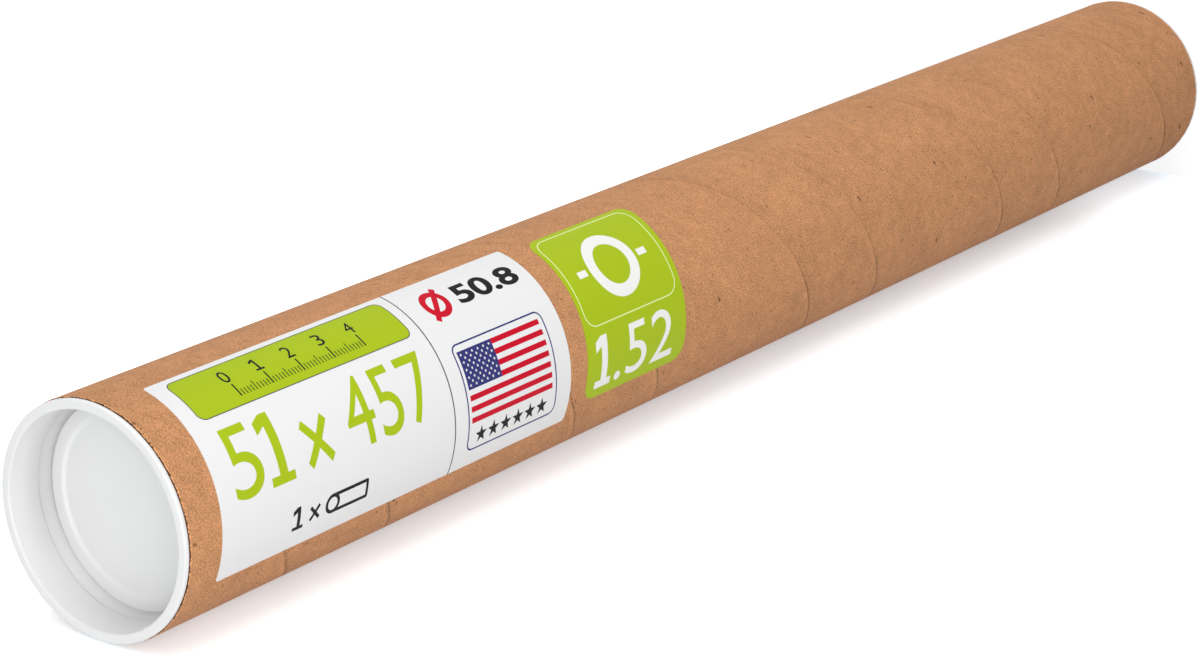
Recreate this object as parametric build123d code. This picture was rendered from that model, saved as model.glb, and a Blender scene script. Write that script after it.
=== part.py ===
from build123d import *

import math
import os

# A cardboard mailing tube that stands on its end.
# The paper tube is wound in a spiral and cut square at both ends.
# A moulded plug cap is pushed into each mouth, and two paper labels are wrapped on the side.
# Z runs up the tube's axis, and z = 0 is the face of the lower cap's flange.
# The middle of both labels faces -Y. All sizes are in millimetres.

# Paper tube
bore_diameter = 50.8
wall_thickness = 1.524
tube_length = 457.2

# Outer ply: its edges meet in a seam that climbs the tube to the right
ply_rise_per_turn = 102.6
seam_width = 0.5
seam_depth = 0.15
seam_height_at_front = 31.5

# Plug cap: the flange that sits on the end of the tube
flange_thickness = 1.3
flange_setback = 0.15
flange_bevel = 0.35

# Plug cap: the skirt inside the bore and its retaining ribs
plug_depth = 11.8
skirt_clearance = 0.3
skirt_wall = 0.6
lead_in_height = 3.2
lead_in_inset = 0.8
rib_count = 2
rib_clearance = 0.05
rib_height = 1.4
rib_spacing = 3.0
first_rib_depth = 2.0

# Plug cap: the stepped dish that can be seen from outside
dish_mouth_bevel = 0.4
dish_wall_draft = 0.3
dish_shoulder_height = 3.0
dish_shoulder_inset = 0.8
ledge_width = 3.1
panel_drop = 0.7
floor_thickness = 0.9

# Labels on the side of the tube
label_thickness = 0.1
label_glue_gap = 0.02
size_label_margin = 10.1
size_label_length = 120.3
size_label_arc = 49.1
size_label_corner = 0.8
label_spacing = 5.4
wall_label_length = 41.0
wall_label_arc = 44.8
wall_label_offset = 0.8
wall_label_corner = 3.2

# Sizes that follow from the ones above
bore_radius = bore_diameter / 2
tube_radius = bore_radius + wall_thickness
tube_bottom = flange_thickness
tube_top = tube_bottom + tube_length
front_direction = -90


def seam_groove():
    """Return the groove along the outer ply's seam, run past both ends of the tube."""
    start_height = -ply_rise_per_turn
    climb = tube_length + 2 * ply_rise_per_turn
    turns_below_front = (seam_height_at_front - start_height) / ply_rise_per_turn
    path = Helix(pitch=ply_rise_per_turn, height=climb, radius=tube_radius)
    profile = Plane(origin=path @ 0, x_dir=(1, 0, 0), z_dir=path % 0)
    groove = sweep(profile * Rectangle(2 * seam_depth, seam_width), path=path, is_frenet=True)
    turn_to_front = front_direction - 360 * turns_below_front
    return Pos(0, 0, start_height) * Rot(0, 0, turn_to_front) * groove


def paper_tube():
    """Return the wound tube as one solid, with the seam of its outer ply."""
    ring = Circle(tube_radius) - Circle(bore_radius)
    tube = extrude(ring, tube_length)
    tube -= seam_groove()
    return Pos(0, 0, tube_bottom) * tube


def skirt_ribs(skirt_radius):
    """Return the corners of the retaining ribs, from the flange down the skirt.

    Each rib is steep on the flange's side and slopes off towards the end that goes in first.
    """
    crest_radius = bore_radius - rib_clearance
    corners = []
    for rib in range(rib_count):
        rib_top = -(first_rib_depth + rib * rib_spacing)
        corners.append((skirt_radius, rib_top))
        corners.append((crest_radius, rib_top))
        corners.append((skirt_radius, rib_top - rib_height))
    return corners


def cap_section():
    """Return half of a cap's section, with the flange's seat at zero height."""
    flange_edge = tube_radius - flange_setback
    skirt_radius = bore_radius - skirt_clearance
    lead_in_radius = skirt_radius - lead_in_inset
    mouth_radius = skirt_radius - skirt_wall
    shoulder_radius = mouth_radius - dish_wall_draft
    ledge_radius = shoulder_radius - dish_shoulder_inset
    panel_radius = ledge_radius - ledge_width
    panel_height = floor_thickness - plug_depth
    ledge_height = panel_height + panel_drop
    shoulder_height = ledge_height + dish_shoulder_height

    flange_face_edge = (flange_edge, flange_thickness)
    flange_seat_edge = (flange_edge, 0)
    plug_end_edge = (lead_in_radius, -plug_depth)
    panel_edge = (panel_radius, panel_height)
    panel_rim = (panel_radius, ledge_height)
    ledge_edge = (ledge_radius, ledge_height)
    shoulder_edge = (shoulder_radius, shoulder_height)
    mouth_edge = (mouth_radius, flange_thickness)
    lead_in_start = (skirt_radius, lead_in_height - plug_depth)

    outside = [flange_face_edge, flange_seat_edge, (skirt_radius, 0)]
    outside += skirt_ribs(skirt_radius)
    outside += [lead_in_start, plug_end_edge, (0, -plug_depth)]
    inside = [(0, panel_height), panel_edge, panel_rim, ledge_edge, shoulder_edge, mouth_edge]
    section = make_face(Polyline(*outside, *inside, close=True))

    bevels = {
        flange_face_edge: flange_bevel,
        mouth_edge: dish_mouth_bevel,
    }
    for corner, width in bevels.items():
        nearest = section.vertices().sort_by_distance(corner)[0]
        section = chamfer(nearest, width)
    return section


def plug_cap():
    """Return one moulded cap, flange up, with its seat at zero height."""
    return revolve(Plane.XZ * cap_section(), Axis.Z)


def wrapped_label(length, arc, top, corner_radius):
    """Return a paper label that lies on the side of the tube.

    length runs along the tube down from the height top, and arc runs around the tube.
    Its outline is cut as it is seen from the front, so it follows the tube's curve.
    """
    inner_radius = tube_radius + label_glue_gap
    outer_radius = inner_radius + label_thickness
    half_span = arc / tube_radius / 2
    width_from_front = 2 * outer_radius * math.sin(half_span)
    outline = RectangleRounded(width_from_front, length, corner_radius)
    column = extrude(Plane.XZ * outline, outer_radius + label_thickness)
    sleeve = extrude(Circle(outer_radius) - Circle(inner_radius), length / 2, both=True)
    return Pos(0, 0, top - length / 2) * (column & sleeve)


def size_label():
    """Return the long white label near the upper end."""
    top = tube_top - size_label_margin
    return wrapped_label(size_label_length, size_label_arc, top, size_label_corner)


def wall_label():
    """Return the green sticker below the white label, stuck a little round to one side."""
    top = tube_top - size_label_margin - size_label_length - label_spacing
    label = wrapped_label(wall_label_length, wall_label_arc, top, wall_label_corner)
    return Rot(0, 0, math.degrees(wall_label_offset / tube_radius)) * label


def build():
    """Return every piece of the mailing tube by its name."""
    return {
        "paper_tube": paper_tube(),
        "top_cap": Pos(0, 0, tube_top) * plug_cap(),
        "bottom_cap": Pos(0, 0, tube_bottom) * Rot(180, 0, 0) * plug_cap(),
        "size_label": size_label(),
        "wall_label": wall_label(),
    }


os.makedirs("parts", exist_ok=True)
for name, piece in build().items():
    export_step(piece, os.path.join("parts", name + ".step"))
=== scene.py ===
"""The looks of a cardboard mailing tube, built around its packed construction.

Places are in metres. Z runs up the tube's axis, z = 0 is the face of the lower cap, and the
middle of both labels faces -Y. Flat artwork is drawn in millimetres before it is wrapped.
"""

import logging
import math
from collections.abc import Callable, Iterable, Iterator
from contextlib import contextmanager
from dataclasses import dataclass, field
from enum import Enum

import bmesh
import bpy
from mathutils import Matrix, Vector

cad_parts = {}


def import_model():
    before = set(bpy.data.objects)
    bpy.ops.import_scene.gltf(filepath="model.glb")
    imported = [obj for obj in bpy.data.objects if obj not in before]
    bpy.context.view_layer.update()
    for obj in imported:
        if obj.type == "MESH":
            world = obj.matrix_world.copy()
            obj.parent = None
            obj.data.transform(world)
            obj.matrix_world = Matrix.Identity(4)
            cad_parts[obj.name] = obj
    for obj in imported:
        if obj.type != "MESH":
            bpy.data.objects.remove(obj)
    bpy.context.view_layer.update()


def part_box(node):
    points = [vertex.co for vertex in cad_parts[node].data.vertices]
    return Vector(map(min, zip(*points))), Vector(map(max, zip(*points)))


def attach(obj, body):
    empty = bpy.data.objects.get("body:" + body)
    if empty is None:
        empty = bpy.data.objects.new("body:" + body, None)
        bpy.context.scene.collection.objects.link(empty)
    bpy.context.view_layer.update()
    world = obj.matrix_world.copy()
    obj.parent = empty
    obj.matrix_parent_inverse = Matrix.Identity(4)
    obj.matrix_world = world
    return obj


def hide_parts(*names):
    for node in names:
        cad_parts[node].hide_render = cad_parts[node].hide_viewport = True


LOG = logging.getLogger("mailing_tube")
MILLIMETRE = 0.001
TOUCHING = 1e-6

Colour = tuple[float, float, float, float]
Span = tuple[float, float]
Node = bpy.types.Node
Socket = bpy.types.NodeSocket
Value = float | Colour | Socket
Piece = bpy.types.Object
Material = bpy.types.Material

WHITE_LIGHT: Colour = (1.0, 1.0, 1.0, 1.0)


class Element(Enum):
    """A kind of mesh element, with its attribute's name in a bmesh."""

    VERT = "verts"
    EDGE = "edges"
    FACE = "faces"


class Bench:
    """The modelling operators, each used on one piece at a time."""

    @staticmethod
    def clear() -> None:
        """Deselect every object."""
        bpy.ops.object.select_all(action="DESELECT")

    @staticmethod
    def take(piece: Piece) -> None:
        """Make a piece the active object and the only selected one."""
        Bench.clear()
        piece.select_set(True)
        bpy.context.view_layer.objects.active = piece

    @staticmethod
    @contextmanager
    def editing(piece: Piece) -> Iterator[None]:
        """Open a piece in edit mode with nothing selected, and close it afterwards.

        Args:
            piece: The mesh object to edit.
        """
        Bench.take(piece)
        bpy.ops.object.mode_set(mode="EDIT")
        bpy.ops.mesh.select_all(action="DESELECT")
        try:
            yield
        finally:
            bpy.ops.object.mode_set(mode="OBJECT")

    @staticmethod
    def pick(piece: Piece, element: Element, test: Callable[[object], bool]) -> None:
        """Select exactly the elements of an edited piece that pass a test.

        Args:
            piece: The mesh object that is open in edit mode.
            element: The kind of element to select.
            test: Says of one bmesh element whether it is selected.
        """
        bpy.ops.mesh.select_mode(type=element.name)
        bpy.ops.mesh.select_all(action="DESELECT")
        mesh = bmesh.from_edit_mesh(piece.data)
        for item in getattr(mesh, element.value):
            if test(item):
                item.select_set(True)
        mesh.select_flush_mode()
        bmesh.update_edit_mesh(piece.data)

    @staticmethod
    def pick_all() -> None:
        """Select all of the edited piece."""
        bpy.ops.mesh.select_all(action="SELECT")

    @staticmethod
    def apply(piece: Piece, kind: str, **settings: object) -> None:
        """Add a modifier to a piece and apply it.

        Args:
            piece: The mesh object to change.
            kind: The modifier's type.
            settings: The modifier's own settings, by name.
        """
        Bench.take(piece)
        modifier = piece.modifiers.new(kind.title(), kind)
        for name, value in settings.items():
            setattr(modifier, name, value)
        bpy.ops.object.modifier_apply(modifier=modifier.name)

    @staticmethod
    def settle(piece: Piece) -> None:
        """Move a piece's place, turn and scale into its mesh."""
        Bench.take(piece)
        bpy.ops.object.transform_apply(location=True, rotation=True, scale=True)

    @staticmethod
    def join(pieces: list[Piece]) -> Piece:
        """Join several pieces into the first one and return it."""
        Bench.take(pieces[0])
        for piece in pieces[1:]:
            piece.select_set(True)
        if len(pieces) > 1:
            bpy.ops.object.join()
        return pieces[0]

    @staticmethod
    def face_outwards(piece: Piece) -> None:
        """Merge a closed shape's doubles and turn all of its faces outwards."""
        with Bench.editing(piece):
            Bench.pick_all()
            bpy.ops.mesh.remove_doubles(threshold=TOUCHING)
            bpy.ops.mesh.normals_make_consistent(inside=False)

    @staticmethod
    def finish(piece: Piece, name: str, crease: float) -> None:
        """Name a piece and shade it smooth up to an angle.

        Args:
            piece: The mesh object.
            name: The piece's own name.
            crease: The angle in degrees from which an edge stays sharp.
        """
        piece.name = name
        piece.data.name = name
        Bench.take(piece)
        bpy.ops.object.shade_smooth_by_angle(angle=math.radians(crease))


@dataclass(frozen=True)
class Grain:
    """A noise: its grains in a metre, its finer layers, and how strong those are."""

    scale: float
    detail: float
    roughness: float


@dataclass(frozen=True)
class Flecks:
    """Dark flecks of one kind, with one fleck at most to a cell.

    The scale is the cells in a metre, the rarity the share of them that stay bare, the size
    a fleck's radius as a share of its cell, and the weight how dark the flecks are.
    """

    scale: float
    rarity: float
    size: float
    weight: float
    rarity_edge: float = 0.02
    stretch: tuple[float, float, float] = (0.6, 1.0, 1.0)
    wobble: float = 0.12
    softness: Span = (1.35, 0.6)

    def wobble_grain(self) -> Grain:
        """Return the noise that makes the outlines uneven."""
        return Grain(self.scale * 5, 2.0, 0.5)


class Graph:
    """A node tree, with short ways to add the nodes that the finishes need."""

    def __init__(self, tree: bpy.types.NodeTree) -> None:
        """Start from an emptied node tree."""
        self.tree = tree
        tree.nodes.clear()

    @classmethod
    def of_material(cls, name: str) -> tuple[Material, "Graph"]:
        """Make a material and return it with its graph."""
        material = bpy.data.materials.new(name)
        material.use_nodes = True
        return material, cls(material.node_tree)

    def add(self, kind: str, **settings: object) -> Node:
        """Add a node and set its own settings.

        Args:
            kind: The node's type.
            settings: The node's settings, by name.

        Returns:
            The new node.
        """
        node = self.tree.nodes.new(kind)
        for name, value in settings.items():
            setattr(node, name, value)
        return node

    def feed(self, socket: Socket, value: Value) -> None:
        """Link another node's output to a socket, or set a plain number or colour on it."""
        if isinstance(value, bpy.types.NodeSocket):
            self.tree.links.new(value, socket)
        else:
            socket.default_value = value

    def feed_all(self, node: Node, values: dict[str, Value]) -> None:
        """Feed several of a node's inputs, by name."""
        for name, value in values.items():
            self.feed(node.inputs[name], value)

    def math(self, operation: str, *values: Value) -> Socket:
        """Return the result of a Math node on one to three values."""
        node = self.add("ShaderNodeMath", operation=operation)
        for socket, value in zip(node.inputs, values):
            self.feed(socket, value)
        return node.outputs[0]

    def plus(self, first: Value, *others: Value) -> Socket:
        """Return the sum of several values."""
        for value in others:
            first = self.math("ADD", first, value)
        return first

    def times(self, first: Value, *others: Value) -> Socket:
        """Return the product of several values."""
        for value in others:
            first = self.math("MULTIPLY", first, value)
        return first

    def minus(self, first: Value, second: Value) -> Socket:
        """Return the first value less the second."""
        return self.math("SUBTRACT", first, second)

    def weigh(self, *parts: tuple[Value, Value]) -> Socket:
        """Return the sum of values that are each multiplied by their own weight."""
        return self.plus(*(self.times(value, weight) for value, weight in parts))

    def fade(self, value: Value, start: Value, end: Value) -> Socket:
        """Return 0 at start and 1 at end, with a smooth step between them."""
        node = self.add("ShaderNodeMapRange", interpolation_type="SMOOTHSTEP")
        for socket, number in zip(node.inputs, (value, start, end, 0.0, 1.0)):
            self.feed(socket, number)
        return node.outputs[0]

    def sway(self, value: Socket, amount: Value) -> Socket:
        """Return a noise value as plus or minus an amount about zero."""
        return self.times(self.minus(value, 0.5), 2.0, amount)

    def noise(self, vector: Socket, grain: Grain) -> Socket:
        """Return a noise at a place, about 0.5 on average."""
        node = self.add("ShaderNodeTexNoise")
        self.feed_all(
            node,
            {"Vector": vector, "Scale": grain.scale, "Detail": grain.detail, "Roughness": grain.roughness},
        )
        return node.outputs[0]

    def vector(self, x: Value, y: Value, z: Value) -> Socket:
        """Return three values as one vector."""
        node = self.add("ShaderNodeCombineXYZ")
        for socket, value in zip(node.inputs, (x, y, z)):
            self.feed(socket, value)
        return node.outputs[0]

    def stretch(self, vector: Socket, scale: tuple[float, float, float]) -> Socket:
        """Return a vector with each of its axes scaled."""
        node = self.add("ShaderNodeMapping")
        self.feed_all(node, {"Vector": vector, "Scale": scale})
        return node.outputs[0]

    def blend(self, factor: Value, first: Value, second: Value) -> Socket:
        """Return two colours mixed by a factor."""
        node = self.add("ShaderNodeMix", data_type="RGBA")
        colours = [socket for socket in node.inputs if socket.type == "RGBA"]
        self.feed(node.inputs[0], factor)
        self.feed(colours[0], first)
        self.feed(colours[1], second)
        return next(socket for socket in node.outputs if socket.type == "RGBA")

    def tint(self, colour: Colour, tone: Socket) -> Socket:
        """Return a colour made lighter or darker by a tone about 1."""
        node = self.add("ShaderNodeVectorMath", operation="SCALE")
        node.inputs[0].default_value = colour[:3]
        self.feed(node.inputs["Scale"], tone)
        return node.outputs[0]

    def place(self) -> Socket:
        """Return the Object coordinates."""
        return self.add("ShaderNodeTexCoord").outputs["Object"]

    def axes(self, vector: Socket) -> list[Socket]:
        """Return a vector's x, y and z."""
        node = self.add("ShaderNodeSeparateXYZ")
        self.feed(node.inputs[0], vector)
        return list(node.outputs)

    def seen(self) -> Socket:
        """Return 1 for the rays that see the background itself: camera, glossy and transmitted."""
        path = self.add("ShaderNodeLightPath")
        glossy = self.math("MAXIMUM", path.outputs["Is Camera Ray"], path.outputs["Is Glossy Ray"])
        return self.math("MAXIMUM", glossy, path.outputs["Is Transmission Ray"])

    def from_axis(self, x: Socket, y: Socket) -> Socket:
        """Return the distance from the z axis."""
        return self.math("SQRT", self.plus(self.times(x, x), self.times(y, y)))

    def depth(self, height: Socket, ends: Span) -> Socket:
        """Return how far a height lies inside the nearer of two ends."""
        low, high = ends
        from_middle = self.math("ABSOLUTE", self.minus(height, (low + high) / 2))
        return self.minus((high - low) / 2, from_middle)

    def group(self, tree: bpy.types.NodeTree, **inputs: Value) -> Node:
        """Place a shader node group with its own input values.

        Args:
            tree: The group's node tree.
            inputs: The values of the group's inputs, by name.

        Returns:
            The group's node.
        """
        node = self.add("ShaderNodeGroup", node_tree=tree)
        self.feed_all(node, inputs)
        return node

    def mix_shaders(self, factor: Socket, first: Node, second: Node) -> Node:
        """Return a shader that goes from the first to the second with the factor."""
        node = self.add("ShaderNodeMixShader")
        for socket, value in zip(node.inputs, (factor, first.outputs[0], second.outputs[0])):
            self.feed(socket, value)
        return node

    def show(self, shader: Node, output: str = "ShaderNodeOutputMaterial") -> None:
        """Make a shader the surface of the material or the world."""
        self.feed(self.add(output).inputs["Surface"], shader.outputs[0])

    def surface(self, name: str, colour: Value, roughness: Value, height: Value, relief: float) -> Node:
        """Finish a material with a Principled shader and a bump.

        Args:
            name: Names the shader node.
            colour: The base colour.
            roughness: The roughness.
            height: The bump's height, from 0 to 1.
            relief: The real height in metres that a step from 0 to 1 stands for.

        Returns:
            The Principled shader's node.
        """
        bump = self.add("ShaderNodeBump")
        self.feed_all(bump, {"Strength": 1.0, "Distance": relief, "Height": height})
        shader = self.add("ShaderNodeBsdfPrincipled", label=name)
        self.feed_all(shader, {"Base Color": colour, "Roughness": roughness, "Normal": bump.outputs[0]})
        self.show(shader)
        return shader


class Effects:
    """The shader node groups that more than one finish uses, each built once."""

    CLOUD = Grain(62.0, 3.0, 0.6)
    MOTTLE = Grain(280.0, 4.0, 0.72)
    SAND = Grain(2300.0, 2.0, 0.8)
    SAND_EDGE = (0.3, 0.7)
    FIBRE = Grain(420.0, 3.0, 0.7)
    FIBRE_STRETCH = (1.0, 4.0, 1.0)
    FIBRE_SHARE = 0.2
    PALE_FIBRE = Grain(760.0, 1.0, 0.5)
    PALE_EDGE = (0.66, 0.78)
    PALE_TONE = 0.09
    FLECKS = (
        Flecks(86.0, 0.65, 0.034, 1.0),
        Flecks(230.0, 0.45, 0.05, 0.7),
        Flecks(720.0, 0.4, 0.11, 0.3),
    )
    MOTTLE_RELIEF = 0.4
    FIBRE_RELIEF = 0.3
    SAND_RELIEF = 0.3
    LABEL_CLOUD = Grain(60.0, 2.0, 0.5)
    LABEL_TOOTH = Grain(2600.0, 2.0, 0.6)
    FRONT_TURN = 0.25

    @staticmethod
    def _begin(
        name: str, inputs: dict[str, float], outputs: list[str]
    ) -> tuple[Graph, dict[str, Socket], Node]:
        """Make an empty group. Its sockets are numbers, apart from Place, which is a vector.

        Args:
            name: The group's name.
            inputs: Each input's name and first value.
            outputs: The outputs' names.

        Returns:
            The group's graph, its inputs by name, and its output node.
        """
        tree = bpy.data.node_groups.new(name, "ShaderNodeTree")
        graph = Graph(tree)
        for label in (*inputs, *outputs):
            way = "INPUT" if label in inputs else "OUTPUT"
            kind = "NodeSocketVector" if label == "Place" else "NodeSocketFloat"
            socket = tree.interface.new_socket(name=label, in_out=way, socket_type=kind)
            if kind == "NodeSocketFloat":
                socket.default_value = inputs.get(label, 0.0)
        entry = graph.add("NodeGroupInput")
        return graph, {label: entry.outputs[label] for label in inputs}, graph.add("NodeGroupOutput")

    @staticmethod
    def ply_wrap(radius: float, rise: float) -> bpy.types.NodeTree:
        """Build the group that unwinds a spiral ply.

        Its Place runs along the strip in x and across it in y, in metres, without a break
        where the angle starts again. Seam is the distance to the nearest edge of the strip,
        and Side is 1 above the seam and 0 below it.

        Args:
            radius: The tube's outer radius.
            rise: How far the strip climbs in one turn.

        Returns:
            The group's node tree, with the seam's height at the front as its input.
        """
        graph, entry, leave = Effects._begin("ply_wrap", {"Front": 0.0}, ["Place", "Seam", "Side"])
        x, y, z = graph.axes(graph.place())
        slope = math.atan2(rise, 2 * math.pi * radius)
        turns = graph.math("DIVIDE", graph.math("ARCTAN2", y, x), 2 * math.pi)
        climbed = graph.math("DIVIDE", graph.minus(z, entry["Front"]), rise)
        wound = graph.minus(graph.minus(climbed, turns), Effects.FRONT_TURN)
        whole = graph.math("FLOOR", wound)
        part = graph.minus(wound, whole)
        round_length = 2 * math.pi * radius * math.cos(slope)
        along = graph.weigh((graph.plus(turns, whole), round_length), (z, math.sin(slope)))
        width = rise * math.cos(slope)
        across = graph.times(part, width)
        graph.feed_all(
            leave,
            {
                "Place": graph.vector(along, across, 0.0),
                "Seam": graph.math("MINIMUM", across, graph.minus(width, across)),
                "Side": graph.math("LESS_THAN", part, 0.5),
            },
        )
        return graph.tree

    @staticmethod
    def paper_fibre() -> bpy.types.NodeTree:
        """Build the group for unbleached board: clouds, formation, fibres and dark flecks.

        Returns:
            A node tree whose Tone varies about 1, Fleck masks the flecks, and Height is
            the surface's relief from 0 to 1.
        """
        inputs = {"Place": 0.0, "Cloud": 0.05, "Mottle": 0.2, "Grain": 0.1}
        graph, entry, leave = Effects._begin("paper_fibre", inputs, ["Tone", "Fleck", "Height"])
        place = entry["Place"]
        cloud = graph.noise(place, Effects.CLOUD)
        mottle = graph.noise(place, Effects.MOTTLE)
        sand = graph.fade(graph.noise(place, Effects.SAND), *Effects.SAND_EDGE)
        fibre = graph.noise(graph.stretch(place, Effects.FIBRE_STRETCH), Effects.FIBRE)
        pale = graph.fade(graph.noise(place, Effects.PALE_FIBRE), *Effects.PALE_EDGE)
        tone = graph.plus(
            1.0,
            graph.sway(cloud, entry["Cloud"]),
            graph.sway(mottle, entry["Mottle"]),
            graph.sway(fibre, graph.times(entry["Mottle"], Effects.FIBRE_SHARE)),
            graph.sway(sand, entry["Grain"]),
            graph.times(pale, Effects.PALE_TONE),
        )
        dark: Value = 0.0
        for flecks in Effects.FLECKS:
            mask = Effects._scatter(graph, place, flecks)
            dark = graph.math("MAXIMUM", dark, graph.times(mask, flecks.weight))
        height = graph.weigh(
            (mottle, Effects.MOTTLE_RELIEF), (fibre, Effects.FIBRE_RELIEF), (sand, Effects.SAND_RELIEF)
        )
        graph.feed_all(leave, {"Tone": tone, "Fleck": dark, "Height": height})
        return graph.tree

    @staticmethod
    def _scatter(graph: Graph, place: Socket, flecks: Flecks) -> Socket:
        """Return a mask of scattered flecks.

        Args:
            graph: The graph to add to.
            place: The place at which the mask is read.
            flecks: The kind of fleck.

        Returns:
            The mask, 1 inside a fleck.
        """
        wobble = graph.noise(place, flecks.wobble_grain())
        aside = graph.sway(wobble, flecks.wobble / flecks.scale)
        shifted = graph.add("ShaderNodeVectorMath", operation="ADD")
        graph.feed(shifted.inputs[0], graph.stretch(place, flecks.stretch))
        graph.feed(shifted.inputs[1], graph.vector(aside, 0.0, 0.0))
        cells = graph.add("ShaderNodeTexVoronoi", voronoi_dimensions="2D")
        graph.feed_all(cells, {"Vector": shifted.outputs[0], "Scale": flecks.scale})
        chance = graph.add("ShaderNodeSeparateColor")
        graph.feed(chance.inputs[0], cells.outputs["Color"])
        present = graph.fade(chance.outputs[0], flecks.rarity, flecks.rarity + flecks.rarity_edge)
        own_size = graph.times(graph.plus(chance.outputs[1], 0.5), flecks.size)
        edge = (graph.times(own_size, share) for share in flecks.softness)
        return graph.times(present, graph.fade(cells.outputs["Distance"], *edge))

    @staticmethod
    def label_tooth() -> bpy.types.NodeTree:
        """Build the group for coated label paper: a faint cloud and a fine tooth.

        Returns:
            A node tree whose Tone varies about 1 and Height is the relief from 0 to 1.
        """
        inputs = {"Cloud": 0.01, "Tooth": 0.01}
        graph, entry, leave = Effects._begin("label_tooth", inputs, ["Tone", "Height"])
        place = graph.place()
        cloud = graph.noise(place, Effects.LABEL_CLOUD)
        tooth = graph.noise(place, Effects.LABEL_TOOTH)
        tone = graph.plus(1.0, graph.sway(cloud, entry["Cloud"]), graph.sway(tooth, entry["Tooth"]))
        graph.feed_all(leave, {"Tone": tone, "Height": tooth})
        return graph.tree


@dataclass(frozen=True)
class KraftFinish:
    """Unbleached kraft paper, wound in a spiral."""

    name: str
    colour: Colour = (0.55, 0.264, 0.121, 1.0)
    fleck_colour: Colour = (0.12, 0.05, 0.02, 1.0)
    fleck_weight: float = 0.75
    cloud: float = 0.17
    mottle: float = 0.34
    grain: float = 0.34
    roughness: float = 0.8
    specular: float = 0.12
    sheen: float = 0.05
    sheen_roughness: float = 0.5
    relief: float = 0.0001
    ends: Span = (0.0013, 0.4585)
    worn_edge: Span = (0.0005, 0.0001)
    worn_patches: Span = (0.3, 0.55)
    worn_tone: float = 0.55
    seam_front: float = 0.0328
    seam_shade: float = 0.4
    seam_breaks: Grain = Grain(45.0, 3.0, 0.6)
    seam_gaps: Span = (0.22, 0.6)
    seam_line: Span = (0.00055, 0.00008)
    lip_place: float = 0.0011
    lip_edge: Span = (0.0009, 0.0001)
    # painted highlight: how much paler the seam's lip is painted
    lip_tone: float = 0.22
    band_edge: Span = (0.009, 0.0)
    band_tone: float = -0.1
    under_seam_front: float = 0.1013
    under_seam_edge: Span = (0.0016, 0.0)
    under_seam_step: float = 0.35
    # painted shade: the seams are painted stronger towards this side, away from the light
    rest_side: Span = (-0.873, 0.488)
    gape_edge: Span = (-0.014, 0.012)
    least_gape: float = 0.2

    def material(self, ply_wrap: bpy.types.NodeTree, paper_fibre: bpy.types.NodeTree) -> Material:
        """Build the material.

        Args:
            ply_wrap: The group that unwinds the ply.
            paper_fibre: The group for the board's fibres.

        Returns:
            The material.
        """
        material, graph = Graph.of_material(self.name)
        ply = graph.group(ply_wrap, Front=self.seam_front)
        under = graph.group(ply_wrap, Front=self.under_seam_front)
        paper = graph.group(
            paper_fibre,
            Place=ply.outputs["Place"],
            Cloud=self.cloud,
            Mottle=self.mottle,
            Grain=self.grain,
        )
        gaping = self._gaping(graph)
        tone = graph.plus(
            paper.outputs["Tone"],
            self._worn_tone(graph, paper.outputs["Height"]),
            self._seam_tone(graph, ply, gaping),
            self._seam_tone(graph, under, gaping),
        )
        fleck = graph.times(paper.outputs["Fleck"], self.fleck_weight)
        colour = graph.blend(fleck, graph.tint(self.colour, tone), self.fleck_colour)
        near_under = graph.fade(under.outputs["Seam"], *self.under_seam_edge)
        step = graph.times(graph.minus(under.outputs["Side"], 0.5), near_under, self.under_seam_step)
        height = graph.plus(paper.outputs["Height"], step)
        shader = graph.surface(self.name, colour, self.roughness, height, self.relief)
        graph.feed_all(
            shader,
            {
                "Specular IOR Level": self.specular,
                "Sheen Weight": self.sheen,
                "Sheen Roughness": self.sheen_roughness,
            },
        )
        return material

    def _gaping(self, graph: Graph) -> Socket:
        """Return the painted shade that makes the seams stronger on the side away from the light."""
        toward = graph.weigh(*zip(graph.axes(graph.place())[:2], self.rest_side))
        shaded = graph.fade(toward, *self.gape_edge)
        return graph.math("MULTIPLY_ADD", shaded, 1.0 - self.least_gape, self.least_gape)

    def _seam_tone(self, graph: Graph, ply: Node, gaping: Socket) -> Socket:
        """Return a seam's change of tone: a broken dark line, a painted highlight along its lip and a wide
        soft band.

        Args:
            graph: The graph to add to.
            ply: The group that unwinds the ply.
            gaping: How strongly the seam's line and lip show, from 0 to 1: painted shade, strongest away
                from the light.

        Returns:
            The change of tone, to be added.
        """
        seam, above = ply.outputs["Seam"], ply.outputs["Side"]
        broken = graph.fade(graph.noise(ply.outputs["Place"], self.seam_breaks), *self.seam_gaps)
        line = graph.times(graph.fade(seam, *self.seam_line), broken)
        off_lip = graph.math("ABSOLUTE", graph.minus(seam, self.lip_place))
        lip = graph.times(graph.fade(off_lip, *self.lip_edge), above)
        band = graph.times(graph.fade(seam, *self.band_edge), graph.minus(1.0, above))
        # the lip's pale tone is a painted highlight, and the side weight is painted shade
        crisp = graph.times(graph.weigh((lip, self.lip_tone), (line, -1.0)), gaping)
        return graph.times(graph.plus(crisp, graph.times(band, self.band_tone)), self.seam_shade)

    def _worn_tone(self, graph: Graph, fibre: Socket) -> Socket:
        """Return how much paler the board is where its cut edges are scuffed."""
        depth = graph.depth(graph.axes(graph.place())[2], self.ends)
        near_end = graph.fade(depth, *self.worn_edge)
        return graph.times(near_end, graph.fade(fibre, *self.worn_patches), self.worn_tone)


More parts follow.
